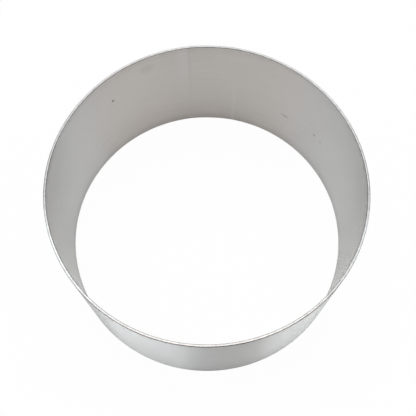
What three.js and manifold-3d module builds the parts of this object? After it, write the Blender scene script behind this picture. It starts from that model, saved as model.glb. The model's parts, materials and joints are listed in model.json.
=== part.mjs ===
// A plain mousse ring: one strip of stainless steel, rolled into a hoop and butt-welded, open at both ends.
// Millimetres, +Z up. The ring stands on z = 0 with its axis on Z, and its seam is at the back, near +Y.

import * as THREE from "three";
import { mergeVertices } from "three/addons/utils/BufferGeometryUtils.js";
import Module from "manifold-3d";

const wasm = await Module();
wasm.setup();

// Driving dimensions
const INNER_DIAMETER = 100; // across the inside of the hoop, the size of the cake
const HEIGHT = 45; // width of the strip, which is the height of the ring
const WALL = 0.8; // thickness of the sheet
const EDGE_RADIUS = 0.2; // deburred edges of the strip, top and bottom
const SEAM_ANGLE = 97.5; // degrees from +X to the seam, about the axis
const WELD_WIDTH = 2; // width of the weld between the two ends of the strip
const WELD_CLEARANCE = 0.3; // from the weld to each end of the strip
const WELD_CROWN = 0.08; // how far the dressed weld stands proud of each face of the sheet
const WELD_EDGE_RADIUS = 0.15; // rounding at the top and bottom of the weld

// Limits that keep the shapes sound
const ROUNDING_SHARE = 0.4; // a rounding takes no more than this share of the sheet's thickness
const CUT_MARGIN = 2; // how far the cut for the seam runs past the sheet on every side

// How finely round forms are divided
const HOOP_STEPS = 180;
const EDGE_STEPS = 3;
const CROWN_STEPS = 6;

// Sizes that follow from the driving dimensions
const INNER_RADIUS = INNER_DIAMETER / 2;
const OUTER_RADIUS = INNER_RADIUS + WALL;
const MID_RADIUS = INNER_RADIUS + WALL / 2;
const SEAM_TURN = THREE.MathUtils.degToRad(SEAM_ANGLE);
const SEAM_GAP = WELD_WIDTH + 2 * WELD_CLEARANCE;
const LARGEST_ROUNDING = ROUNDING_SHARE * WALL;

// A geometry as a solid that can be cut
function solidOf(geometry) {
  const bare = geometry.clone();
  bare.deleteAttribute("normal");
  bare.deleteAttribute("uv");
  const merged = mergeVertices(bare);
  const vertProperties = new Float32Array(merged.attributes.position.array);
  const triVerts = new Uint32Array(merged.index.array);
  return new wasm.Manifold(new wasm.Mesh({ numProp: 3, vertProperties, triVerts }));
}

// A cut solid as a geometry again
function geometryOf(solid) {
  const { vertProperties, triVerts } = solid.getMesh();
  const geometry = new THREE.BufferGeometry();
  geometry.setAttribute("position", new THREE.BufferAttribute(vertProperties, 3));
  geometry.setIndex(new THREE.BufferAttribute(triVerts, 1));
  geometry.computeVertexNormals();
  return geometry;
}

// The strip's section: a tall thin rectangle with round corners, in radius and height
function stripSection() {
  const round = Math.min(EDGE_RADIUS, LARGEST_ROUNDING);
  const corners = [
    { radius: OUTER_RADIUS - round, height: round, start: -90 },
    { radius: OUTER_RADIUS - round, height: HEIGHT - round, start: 0 },
    { radius: INNER_RADIUS + round, height: HEIGHT - round, start: 90 },
    { radius: INNER_RADIUS + round, height: round, start: 180 },
  ];
  const points = corners.flatMap(({ radius, height, start }) =>
    Array.from({ length: EDGE_STEPS + 1 }, (_, step) => {
      const turn = THREE.MathUtils.degToRad(start + (90 * step) / EDGE_STEPS);
      return new THREE.Vector2(radius + round * Math.cos(turn), height + round * Math.sin(turn));
    }),
  );
  return [...points, points[0].clone()];
}

// The strip rolled into a hoop, with a gap left between its square ends for the weld
function bandGeometry() {
  const hoop = new THREE.LatheGeometry(stripSection(), HOOP_STEPS);
  hoop.rotateX(Math.PI / 2);
  const gap = new THREE.BoxGeometry(WALL + 2 * CUT_MARGIN, SEAM_GAP, HEIGHT + 2 * CUT_MARGIN);
  gap.translate(MID_RADIUS, 0, HEIGHT / 2);
  gap.rotateZ(SEAM_TURN);
  return geometryOf(solidOf(hoop).subtract(solidOf(gap)));
}

// One crowned face of the weld, from one end of the strip across to the other, seen from above
function crownPoints(faceRadius, crown, fromSide) {
  return Array.from({ length: CROWN_STEPS + 1 }, (_, step) => {
    const across = fromSide * (1 - (2 * step) / CROWN_STEPS);
    const offset = (across * WELD_WIDTH) / 2;
    const sheet = Math.sqrt(faceRadius ** 2 - offset ** 2);
    return new THREE.Vector2(sheet + crown * (1 - across ** 2), offset);
  });
}

// The weld: a narrow upright bead, crowned inside and outside, as tall as the strip
function weldGeometry() {
  const outline = new THREE.Shape([
    ...crownPoints(OUTER_RADIUS, WELD_CROWN, -1),
    ...crownPoints(INNER_RADIUS, -WELD_CROWN, 1),
  ]);
  const round = Math.min(WELD_EDGE_RADIUS, LARGEST_ROUNDING);
  const weld = new THREE.ExtrudeGeometry(outline, {
    depth: HEIGHT - 2 * round,
    steps: 1,
    bevelEnabled: true,
    bevelThickness: round,
    bevelSize: round,
    bevelOffset: -round,
    bevelSegments: EDGE_STEPS,
  });
  weld.translate(0, 0, round);
  weld.rotateZ(SEAM_TURN);
  return weld;
}

function piece(name, geometry, { color, roughness, metalness }) {
  const mesh = new THREE.Mesh(geometry, new THREE.MeshStandardMaterial({ color, roughness, metalness }));
  mesh.name = name;
  return mesh;
}

const mousseRing = new THREE.Group();
mousseRing.add(piece("band", bandGeometry(), { color: 0xc3c2c0, roughness: 0.42, metalness: 1 }));
mousseRing.add(piece("weld_seam", weldGeometry(), { color: 0xb5b3af, roughness: 0.5, metalness: 1 }));

export default mousseRing;
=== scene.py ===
# The mousse ring's looks: a finely modelled steel hoop and its dressed weld, in a plain white studio.
# Metres, +Z up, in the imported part's own frame.
import json
import math

import bpy
import numpy as np
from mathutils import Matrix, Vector


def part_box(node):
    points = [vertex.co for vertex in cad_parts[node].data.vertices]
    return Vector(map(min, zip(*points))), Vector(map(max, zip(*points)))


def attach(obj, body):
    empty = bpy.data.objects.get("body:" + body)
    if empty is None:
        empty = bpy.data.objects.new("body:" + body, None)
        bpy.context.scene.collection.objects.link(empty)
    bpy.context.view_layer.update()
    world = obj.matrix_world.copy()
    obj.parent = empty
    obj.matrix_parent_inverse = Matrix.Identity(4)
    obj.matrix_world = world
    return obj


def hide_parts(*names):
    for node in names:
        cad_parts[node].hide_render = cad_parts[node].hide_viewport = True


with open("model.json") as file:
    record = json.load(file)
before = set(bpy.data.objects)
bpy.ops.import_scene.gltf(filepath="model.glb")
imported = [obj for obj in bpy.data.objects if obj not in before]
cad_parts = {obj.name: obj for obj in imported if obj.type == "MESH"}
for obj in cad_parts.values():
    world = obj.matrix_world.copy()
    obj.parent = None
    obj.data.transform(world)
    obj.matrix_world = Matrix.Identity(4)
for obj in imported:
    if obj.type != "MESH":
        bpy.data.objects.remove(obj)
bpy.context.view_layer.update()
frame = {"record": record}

MM = 0.001

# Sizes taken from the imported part, whose mount on the bottom edge lies at the middle of the sheet
band_low, band_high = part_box("band")
weld_low, weld_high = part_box("weld_seam")
mounts = {mount["name"]: mount for mount in frame["record"]["mounts"]}
edge_x, edge_y, _ = mounts["bottom_edge"]["pos_m"]
HEIGHT = band_high.z
OUTER_RADIUS = (band_high.x - band_low.x) / 2
MID_RADIUS = math.hypot(edge_x, edge_y)
WALL = 2 * (OUTER_RADIUS - MID_RADIUS)
SEAM_TURN = math.atan2(weld_low.y + weld_high.y, weld_low.x + weld_high.x)

# Fine sizes of the sheet and the weld
EDGE_RADIUS = 0.22 * MM
WELD_WIDTH = 2.0 * MM
HALF_WELD_TURN = (WELD_WIDTH / 2) / MID_RADIUS
WELD_CROWN = 0.006 * MM
RIPPLE_PITCH = 0.7 * MM
RIPPLE_SHARE = 0.35  # how much of the crown the ripples take away
RIPPLE_BEND = 2.2  # how far the ripples bend at the sides of the weld, in radians of their wave

# The flattened stretch of the strip that ends at the seam
FLAT_RUN = math.radians(19.4)
FLAT_DEPTH = 0.1 * MM
# Waves left by the rolls: how many round the hoop, size in millimetres, phase. The first makes the hoop oval.
ROLLING_WAVES = (
    (2, 0.5, math.pi),
    (3, 0.04, 2.1),
    (5, 0.02, 4.0),
    (11, 0.004, 1.3),
    (23, 0.0015, 5.2),
    (41, 0.0006, 0.4),
)

# How finely the meshes are divided
HOOP_STEPS = 900
WALL_ROWS = 24
EDGE_STEPS = 8
EDGE_SUPPORT = 0.06 * MM  # from each rounded edge to the nearest row of the wall
WELD_ROWS = 260
CROWN_STEPS = 10
SHARP_ANGLE = math.radians(40.0)

# Steel, with the scale of its grain along each axis
STEEL_COLOUR = (0.79, 0.785, 0.775, 1.0)
SHEET_ROUGHNESS = 0.38
SHEET_GRAIN = (70.0, 70.0, 7000.0)
WELD_ROUGHNESS = 0.4
WELD_GRAIN = (160.0, 160.0, 5000.0)
ANISOTROPY = 0.9
ACROSS_GRAIN = 0.25  # the quarter turn that smears reflections across the grain
GRAZING_TINT = (0.54, 0.565, 0.57, 1.0)  # weakens reflections at grazing angles
RELIEF_STRENGTH = 0.12
RELIEF_DEPTH = 0.01 * MM

# Noise patterns on the steel: detail, and how strongly the finer layers count
GRAIN_NOISE = (4.0, 0.6)
COARSE_NOISE = (3.0, 0.55)
SMEAR_NOISE = (4.0, 0.55)
NICK_NOISE = (3.0, 0.55)
COARSE_SHARE = 0.22  # scale of the coarse grain as a share of the fine grain's
SMEAR_SCALE = (38.0, 38.0, 30.0)
NICK_SCALE = (900.0, 900.0, 900.0)

# What the patterns do to the colour: the noise values between which each takes effect, and by how much
DARKER_SHARE = 0.95
BRIGHTER_SHARE = 1.05
GRAIN_SPAN = (0.3, 0.7)
COARSE_SPAN = (0.3, 0.7)
COARSE_DARKENING = 0.2
SMEAR_SPAN = (0.35, 0.7)
SMEAR_EVENING = 0.5

# What the patterns and masks do to the roughness
COARSE_ROUGH_SPAN = (0.25, 0.75)
COARSE_ROUGH_CHANGE = 0.015
SMEAR_ROUGH_SPAN = (0.3, 0.7)
SMEAR_ROUGH_CHANGE = 0.02
MASK_ROUGH_CHANGES = {"marks": 0.25, "corner_shade": -0.1, "cut_face": -0.06}

# The strip's cut edges, and the painted shade that draws a dark line along their rounded corners: the upright
# part of the normal at which each starts and is full, and their tones
CUT_SPAN = (0.75, 0.9)
CUT_DARK = (0.41, 0.41, 0.41, 1.0)
CUT_LIGHT = (0.51, 0.51, 0.51, 1.0)
NICK_SPAN = (0.35, 0.65)
CORNER_SHADE_SPAN = (0.05, 0.2)
# Near-black painted shade for the rounded corners, standing in for the dark line they reflect; the seam's
# dark line uses this tone too
CORNER_SHADE_AND_SEAM_TONE = (0.08, 0.08, 0.08, 1.0)

# Marks on the inside of the wall: degrees round the ring, then height, half length and half height in
# millimetres, and how dark
MARKS = (
    (131.7, 32.0, 0.65, 0.65, 0.95),
    (54.0, 17.0, 2.2, 0.5, 0.4),
    (37.8, 19.9, 1.0, 0.7, 0.35),
    (33.6, 19.6, 0.8, 0.6, 0.22),
    (114.7, 39.1, 4.0, 3.2, 0.07),
)
MARK_CORE = 0.35  # share of a mark's reach that is fully dark
MARK_TONE = (0.09, 0.075, 0.065, 1.0)

# Painted highlights: light upright streaks that stand in for reflections on the sheet: degrees from the seam
# where a streak starts, is full, starts to fade and ends, then heights in millimetres where it is absent and
# where it is full, and its strength
HIGHLIGHT_STREAKS = (
    (-0.5, 0.5, 3.0, 7.0, 8.0, 40.0, 0.42),
    (-20.6, -19.6, -19.0, -18.0, 30.0, 16.0, 0.35),
)
STREAK_HIGHLIGHT_SHARE = 1.1  # brightness of a full streak against the plain steel
# The fine dark line along the seam, as a row of the same kind
SEAM_LINE = (-0.7, -0.45, -0.3, 0.0, 0.0, 36.0, 0.055)

# A warm tint painted on the sheet about the seam, standing in for warm light falling on that side of the
# ring, and how far from the seam it is full and ends
WARM_LIGHT_TINT = (1.035, 0.995, 0.96, 1.0)
WARM_LIGHT_STRENGTH = 0.7
WARM_LIGHT_FULL = math.radians(25.0)
WARM_LIGHT_END = math.radians(72.0)

# Painted shade that darkens the sheet towards the foot, where it stands on the floor, and a darkening towards
# the rim: how far up from the foot and down from the rim each reaches, and how strongly
FOOT_SHADE_AND_RIM_DARK_TONE = (0.8, 0.8, 0.8, 1.0)
FOOT_SHADE_REACH = 5.0 * MM
FOOT_SHADE_STRENGTH = 0.6
RIM_DARKENING_REACH = 4.0 * MM
RIM_DARKENING_STRENGTH = 0.3

# Camera, as fitted to the photograph's view of the rim and the foot
IMAGE_WIDTH = 416
FOCAL_PIXELS = 594.2
SENSOR_WIDTH = 36.0
CAMERA_DISTANCE = 225.14 * MM
CAMERA_ELEVATION = math.radians(68.985)
CAMERA_OFFSET = 0.35 * MM  # to the right of the ring's axis
AIM_HEIGHT = 22.92 * MM
CLIP_START = 10.0 * MM

# Floor and room: the share of plain white that the camera meets there, and that mirrored rays meet
FLOOR_SIZE = 6.0
FLOOR_COLOUR = (0.9, 0.9, 0.9, 1.0)
ROOM_COLOUR = (0.02, 0.02, 0.02, 1.0)
WHITE = (1.0, 1.0, 1.0, 1.0)
WHITE_SHARE = 0.97
MIRRORED_SHARE = 0.03

# Colours of the light
PLAIN = (1.0, 1.0, 1.0)
WARM = (1.04, 1.0, 0.97)
WARMER = (1.18, 0.96, 0.87)
COOL = (0.92, 1.0, 1.04)

# Soft lights: name, degrees to the right of the front, elevation, distance, width, height, level, colour
SOFTBOXES = (
    ("overhead", 180.0, 88.0, 0.6, 0.35, 0.35, 2.05, WARM),
    ("back", 180.0, 52.0, 0.6, 0.7, 0.55, 1.5, PLAIN),
    ("left", -90.0, 50.0, 0.6, 0.35, 0.5, 1.75, COOL),
    ("right", 90.0, 44.0, 0.6, 0.35, 0.45, 1.65, COOL),
    ("front_left", -45.0, 42.0, 0.6, 0.35, 0.3, 0.62, WARMER),
    ("front_right", 45.0, 42.0, 0.6, 0.35, 0.3, 0.72, WARMER),
    ("left_card", -28.4, 6.4, 0.188, 0.137, 0.042, 3.4, COOL),
    ("right_card", 42.5, 6.2, 0.194, 0.11, 0.042, 3.2, COOL),
)


# Meshes

def mesh_object(name, vertices, faces):
    """A smooth-shaded object in the scene, with sharp edges where its faces meet at a large angle."""
    mesh = bpy.data.meshes.new(name)
    mesh.from_pydata([tuple(point) for point in vertices], [], faces)
    mesh.validate()
    mesh.polygons.foreach_set("use_smooth", [True] * len(mesh.polygons))
    mesh.set_sharp_from_angle(angle=SHARP_ANGLE)
    mesh.update()
    made = bpy.data.objects.new(name, mesh)
    bpy.context.scene.collection.objects.link(made)
    return made


def lofted_faces(rings, points):
    """Quads between successive closed rings of points, with a cap at each end."""
    faces = []
    for ring in range(rings - 1):
        here = ring * points
        there = here + points
        for point in range(points):
            following = (point + 1) % points
            faces.append((here + point, here + following, there + following, there + point))
    last = (rings - 1) * points
    faces.append(tuple(reversed(range(points))))
    faces.append(tuple(range(last, last + points)))
    return faces


def hoop_stray(turn):
    """How far the middle of the sheet lies from the true circle, at an angle about the axis."""
    waves = sum(size * MM * math.cos(count * turn + phase) for count, size, phase in ROLLING_WAVES)
    along = ((SEAM_TURN - turn) % math.tau) / FLAT_RUN
    flat = -FLAT_DEPTH * math.sin(math.pi * along) ** 2 if along < 1 else 0.0
    return waves + flat


# The band

def edge_arc(across, height, start):
    """A quarter circle of the strip's section, about a centre, from a start angle in degrees."""
    turns = np.radians(start + np.linspace(0, 90, EDGE_STEPS + 1))
    return np.column_stack([across + EDGE_RADIUS * np.cos(turns), height + EDGE_RADIUS * np.sin(turns)])


def strip_section():
    """The strip's section as points (distance out from the middle of the sheet, height), clockwise."""
    reach = WALL / 2 - EDGE_RADIUS
    low = EDGE_RADIUS
    high = HEIGHT - EDGE_RADIUS
    rows = np.linspace(low + EDGE_SUPPORT, high - EDGE_SUPPORT, WALL_ROWS)
    outer_face = np.column_stack([np.full(WALL_ROWS, WALL / 2), rows])
    inner_face = np.column_stack([np.full(WALL_ROWS, -WALL / 2), rows[::-1]])
    anticlockwise = np.vstack([
        edge_arc(reach, low, -90),
        outer_face,
        edge_arc(reach, high, 0),
        edge_arc(-reach, high, 90),
        inner_face,
        edge_arc(-reach, low, 180),
    ])
    return anticlockwise[::-1]


def make_band():
    """The strip, carried round the hoop from one side of the weld to the other."""
    section = strip_section()
    turns = SEAM_TURN + np.linspace(HALF_WELD_TURN, math.tau - HALF_WELD_TURN, HOOP_STEPS + 1)
    rings = []
    for turn in turns:
        radius = MID_RADIUS + hoop_stray(turn) + section[:, 0]
        rings.append(np.column_stack([radius * math.cos(turn), radius * math.sin(turn), section[:, 1]]))
    return mesh_object("steel_band", np.vstack(rings), lofted_faces(len(rings), len(section)))


# The weld

def weld_thickness(height):
    """Half the weld's thickness where it meets the sheet, drawn in at the rounded top and bottom edges."""
    into_edge = EDGE_RADIUS - min(height, HEIGHT - height)
    if into_edge <= 0:
        return WALL / 2
    return WALL / 2 - EDGE_RADIUS + math.sqrt(max(EDGE_RADIUS ** 2 - into_edge ** 2, 0))


def weld_ring(height):
    """The weld's outline at one height: the outer face across, then the inner face back."""
    across = np.linspace(-1, 1, CROWN_STEPS + 1)
    wave = np.cos(math.tau * height / RIPPLE_PITCH + RIPPLE_BEND * across ** 2)
    ripple = 1 - RIPPLE_SHARE * (0.5 + 0.5 * wave)
    rise = WELD_CROWN * ripple * (1 - across ** 2)
    thickness = weld_thickness(height)
    turns = SEAM_TURN + across * HALF_WELD_TURN
    middle = np.array([MID_RADIUS + hoop_stray(turn) for turn in turns])
    outer = middle + thickness + rise
    inner = middle - thickness - rise
    outer_points = np.column_stack([outer * np.cos(turns), outer * np.sin(turns)])
    inner_points = np.column_stack([inner * np.cos(turns), inner * np.sin(turns)])[::-1]
    plan = np.vstack([outer_points, inner_points])
    return np.column_stack([plan, np.full(len(plan), height)])


def make_weld():
    """The weld, as outlines stacked from the foot to the rim, closely where its edges are rounded."""
    arc = EDGE_RADIUS * (1 - np.cos(np.linspace(0, math.pi / 2, EDGE_STEPS + 1)))
    middle = np.linspace(EDGE_RADIUS, HEIGHT - EDGE_RADIUS, WELD_ROWS)[1:-1]
    heights = np.concatenate([arc, middle, HEIGHT - arc[::-1]])
    rings = [weld_ring(height) for height in heights]
    return mesh_object("weld_bead", np.vstack(rings), lofted_faces(len(rings), len(rings[0])))


# Shader nodes

def fill(tree, socket, value):
    """Links an input to another node's output, or sets it to a plain value."""
    if isinstance(value, bpy.types.NodeSocket):
        tree.links.new(value, socket)
    else:
        socket.default_value = value


def node(tree, kind, inputs=None, **settings):
    """A new shader node with its settings and its inputs."""
    made = tree.nodes.new("ShaderNode" + kind)
    for name, value in settings.items():
        setattr(made, name, value)
    for key, value in (inputs or {}).items():
        fill(tree, made.inputs[key], value)
    return made


def math_node(tree, operation, first, second=0.0):
    return node(tree, "Math", {0: first, 1: second}, operation=operation).outputs[0]


def ranged(tree, value, low, high, to_low, to_high):
    """A value eased from one range into another and held at its ends."""
    inputs = {"Value": value, "From Min": low, "From Max": high, "To Min": to_low, "To Max": to_high}
    return node(tree, "MapRange", inputs, interpolation_type="SMOOTHSTEP").outputs["Result"]


def noise(tree, position, scale, detail, layering):
    """Noise whose scale is set along each axis."""
    stretched = node(tree, "Mapping", {"Vector": position, "Scale": scale}).outputs[0]
    inputs = {"Vector": stretched, "Scale": 1.0, "Detail": detail, "Roughness": layering}
    return node(tree, "TexNoise", inputs).outputs[0]


def tinted(tree, colour, factor, other, blend="MIX"):
    """A colour blended with another by a factor, through the Mix node's sockets for colours."""
    inputs = {0: factor, 6: colour, 7: other}
    return node(tree, "Mix", inputs, data_type="RGBA", blend_type=blend).outputs[2]


# Steel

def shade(share):
    """The plain steel's colour at a share of its brightness."""
    return tuple(min(1.0, share * value) for value in STEEL_COLOUR[:3]) + (1.0,)


def mark_masks(tree, position):
    """The largest of the masks of the small marks, each an ellipsoid on the inner face of the wall."""
    total = None
    for degrees, height, half_length, half_height, dark in MARKS:
        turn = math.radians(degrees)
        radius = MID_RADIUS + hoop_stray(turn) - WALL / 2
        inputs = {
            "Vector": position,
            "Location": (radius * math.cos(turn), radius * math.sin(turn), height * MM),
            "Rotation": (0, 0, turn + math.pi / 2),
            "Scale": (half_length * MM, WALL / 2, half_height * MM),
        }
        local = node(tree, "Mapping", inputs, vector_type="TEXTURE").outputs[0]
        reach = node(tree, "VectorMath", {0: local}, operation="LENGTH").outputs["Value"]
        mask = ranged(tree, reach, MARK_CORE, 1.0, dark, 0.0)
        total = mask if total is None else math_node(tree, "MAXIMUM", total, mask)
    return total


def streak_mask(tree, angle, height, row):
    """A soft-sided upright streak that fades along the height of the wall."""
    start, full, fade, end, absent_height, full_height, strength = row
    turns = [SEAM_TURN + math.radians(degrees) for degrees in (start, full, fade, end)]
    rise = ranged(tree, angle, turns[0], turns[1], 0.0, 1.0)
    fall = ranged(tree, angle, turns[2], turns[3], 1.0, 0.0)
    low, high = sorted((absent_height, full_height))
    at_low, at_high = (0.0, strength) if absent_height < full_height else (strength, 0.0)
    along = ranged(tree, height, low * MM, high * MM, at_low, at_high)
    return math_node(tree, "MULTIPLY", along, math_node(tree, "MULTIPLY", rise, fall))


def surface_masks(tree, position, grain_scale):
    """The noise patterns of the steel, and the masks of its cut edges, of the painted shade on their corners
    and of the marks.
    """
    normal = node(tree, "NewGeometry").outputs["Normal"]
    upright = math_node(tree, "ABSOLUTE", node(tree, "SeparateXYZ", {0: normal}).outputs["Z"])
    coarse_scale = tuple(COARSE_SHARE * value for value in grain_scale)
    return {
        "grain": noise(tree, position, grain_scale, *GRAIN_NOISE),
        "coarse": noise(tree, position, coarse_scale, *COARSE_NOISE),
        "smear": noise(tree, position, SMEAR_SCALE, *SMEAR_NOISE),
        "nicks": noise(tree, position, NICK_SCALE, *NICK_NOISE),
        "cut_face": ranged(tree, upright, *CUT_SPAN, 0.0, 1.0),
        "corner_shade": ranged(tree, upright, *CORNER_SHADE_SPAN, 0.0, 1.0),
        "marks": mark_masks(tree, position),
    }


def steel_colour(tree, position, masks):
    """The steel's colour, from the grain up to the marks that lie over everything else."""
    place = node(tree, "SeparateXYZ", {0: position}).outputs
    angle = math_node(tree, "ARCTAN2", place["Y"], place["X"])
    height = place["Z"]
    darker = shade(DARKER_SHARE)
    brighter = shade(BRIGHTER_SHARE)
    highlight_tone = shade(STREAK_HIGHLIGHT_SHARE)

    toned = tinted(tree, darker, ranged(tree, masks["grain"], *GRAIN_SPAN, 0.0, 1.0), brighter)
    toned = tinted(tree, toned, ranged(tree, masks["coarse"], *COARSE_SPAN, COARSE_DARKENING, 0.0), darker)
    toned = tinted(tree, toned, ranged(tree, masks["smear"], *SMEAR_SPAN, 0.0, SMEAR_EVENING), STEEL_COLOUR)

    # Painted warm light about the seam
    from_seam = math_node(tree, "ABSOLUTE", math_node(tree, "SUBTRACT", angle, SEAM_TURN))
    warm_light = ranged(tree, from_seam, WARM_LIGHT_FULL, WARM_LIGHT_END, WARM_LIGHT_STRENGTH, 0.0)
    toned = tinted(tree, toned, warm_light, WARM_LIGHT_TINT, "MULTIPLY")
    # Painted shade towards the foot, and a darkening towards the rim
    foot = ranged(tree, height, 0.0, FOOT_SHADE_REACH, FOOT_SHADE_STRENGTH, 0.0)
    rim = ranged(tree, height, HEIGHT - RIM_DARKENING_REACH, HEIGHT, 0.0, RIM_DARKENING_STRENGTH)
    toned = tinted(tree, toned, math_node(tree, "MAXIMUM", foot, rim), FOOT_SHADE_AND_RIM_DARK_TONE, "MULTIPLY")
    for row in HIGHLIGHT_STREAKS:
        # Painted highlights: light upright streaks
        toned = tinted(tree, toned, streak_mask(tree, angle, height, row), highlight_tone)
    toned = tinted(tree, toned, streak_mask(tree, angle, height, SEAM_LINE), CORNER_SHADE_AND_SEAM_TONE)

    cut_tone = tinted(tree, CUT_DARK, ranged(tree, masks["nicks"], *NICK_SPAN, 0.0, 1.0), CUT_LIGHT)
    # Painted shade: the rounded corners beside the walls turn near black, as a dark reflected line
    toned = tinted(tree, toned, masks["corner_shade"], CORNER_SHADE_AND_SEAM_TONE)
    toned = tinted(tree, toned, masks["cut_face"], cut_tone)
    return tinted(tree, toned, masks["marks"], MARK_TONE)


def steel_roughness(tree, masks, roughness):
    """The steel's roughness, which strays with the coarse grain and the smears and changes under masks."""
    low = roughness - COARSE_ROUGH_CHANGE
    high = roughness + COARSE_ROUGH_CHANGE
    rough = ranged(tree, masks["coarse"], *COARSE_ROUGH_SPAN, low, high)
    smear = ranged(tree, masks["smear"], *SMEAR_ROUGH_SPAN, -SMEAR_ROUGH_CHANGE, SMEAR_ROUGH_CHANGE)
    rough = math_node(tree, "ADD", rough, smear)
    for name, change in MASK_ROUGH_CHANGES.items():
        rough = math_node(tree, "ADD", rough, math_node(tree, "MULTIPLY", masks[name], change))
    return rough


def steel(name, roughness, grain_scale):
    """Brushed steel whose grain is drawn out along the directions in which grain_scale is small."""
    material = bpy.data.materials.new(name)
    material.use_nodes = True
    tree = material.node_tree
    position = node(tree, "TexCoord").outputs["Object"]
    masks = surface_masks(tree, position, grain_scale)
    relief = {"Strength": RELIEF_STRENGTH, "Distance": RELIEF_DEPTH, "Height": masks["grain"]}
    inputs = {
        "Base Color": steel_colour(tree, position, masks),
        "Roughness": steel_roughness(tree, masks, roughness),
        "Normal": node(tree, "Bump", relief).outputs[0],
        "Metallic": 1.0,
        "Specular Tint": GRAZING_TINT,
        "Anisotropic": ANISOTROPY,
        "Anisotropic Rotation": ACROSS_GRAIN,
        "Tangent": node(tree, "Tangent", direction_type="RADIAL", axis="Z").outputs[0],
    }
    shader = tree.nodes["Principled BSDF"]
    for socket, value in inputs.items():
        fill(tree, shader.inputs[socket], value)
    return material


def finish_piece(piece, material, node_name):
    """Gives a piece its material, hides the part's node that it stands in for, and attaches it to the root
    body.
    """
    piece.data.materials.append(material)
    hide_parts(node_name)
    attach(piece, "root")


# Studio

def shown_white(tree):
    """How much of plain white a ray meets: nearly all for the camera, a little for mirrored rays."""
    rays = node(tree, "LightPath").outputs
    seen = math_node(tree, "MAXIMUM", rays["Is Camera Ray"], rays["Is Transmission Ray"])
    seen = math_node(tree, "MULTIPLY", seen, WHITE_SHARE)
    mirrored = math_node(tree, "MULTIPLY", rays["Is Glossy Ray"], MIRRORED_SHARE)
    return math_node(tree, "MAXIMUM", seen, mirrored)


def make_floor():
    """A wide pale floor that the camera sees as nearly plain white, with a faint shadow."""
    half = FLOOR_SIZE / 2
    corners = [(-half, -half, 0), (half, -half, 0), (half, half, 0), (-half, half, 0)]
    floor = mesh_object("floor", corners, [(0, 1, 2, 3)])
    material = bpy.data.materials.new("white_floor")
    material.use_nodes = True
    tree = material.node_tree
    tree.nodes.clear()
    lit = node(tree, "BsdfDiffuse", {"Color": FLOOR_COLOUR}).outputs[0]
    white = node(tree, "Emission", {"Color": WHITE, "Strength": 1.0}).outputs[0]
    surface = node(tree, "MixShader", {0: shown_white(tree), 1: lit, 2: white}).outputs[0]
    node(tree, "OutputMaterial", {"Surface": surface})
    floor.data.materials.append(material)


def make_world():
    """A dim room round the soft lights, which the camera sees as nearly plain white."""
    world = bpy.data.worlds.new("studio")
    world.use_nodes = True
    bpy.context.scene.world = world
    tree = world.node_tree
    shown = tinted(tree, ROOM_COLOUR, shown_white(tree), WHITE)
    tree.links.new(shown, tree.nodes["Background"].inputs["Color"])


def make_softbox(name, turn, elevation, distance, width, height, level, colour):
    """A rectangular light that faces the ring, as bright as a surface of its level, where 1 is white."""
    light = bpy.data.lights.new(name, "AREA")
    light.shape = "RECTANGLE"
    light.size = width
    light.size_y = height
    light.energy = level * math.pi * width * height
    light.color = colour
    box = bpy.data.objects.new(name, light)
    box.visible_camera = False
    turn = math.radians(turn)
    elevation = math.radians(elevation)
    reach = distance * math.cos(elevation)
    box.location = (reach * math.sin(turn), -reach * math.cos(turn), distance * math.sin(elevation))
    box.rotation_euler = (-box.location).to_track_quat("-Z", "Y").to_euler()
    bpy.context.scene.collection.objects.link(box)


def make_camera():
    """The camera, in front of the ring and high above it."""
    data = bpy.data.cameras.new("camera")
    data.sensor_fit = "HORIZONTAL"
    data.sensor_width = SENSOR_WIDTH
    data.lens = FOCAL_PIXELS / IMAGE_WIDTH * SENSOR_WIDTH
    data.clip_start = CLIP_START
    camera = bpy.data.objects.new("camera", data)
    reach = CAMERA_DISTANCE * math.cos(CAMERA_ELEVATION)
    place = Vector((CAMERA_OFFSET, -reach, CAMERA_DISTANCE * math.sin(CAMERA_ELEVATION)))
    aim = Vector((CAMERA_OFFSET, 0.0, AIM_HEIGHT))
    camera.location = place
    camera.rotation_euler = (aim - place).to_track_quat("-Z", "Y").to_euler()
    bpy.context.scene.collection.objects.link(camera)
    bpy.context.scene.camera = camera


make_camera()
make_floor()
make_world()
for row in SOFTBOXES:
    make_softbox(*row)

sheet_steel = steel("satin_sheet", SHEET_ROUGHNESS, SHEET_GRAIN)
weld_steel = steel("dressed_weld", WELD_ROUGHNESS, WELD_GRAIN)
finish_piece(make_band(), sheet_steel, "band")
finish_piece(make_weld(), weld_steel, "weld_seam")

bpy.context.scene.view_settings.view_transform = "Standard"
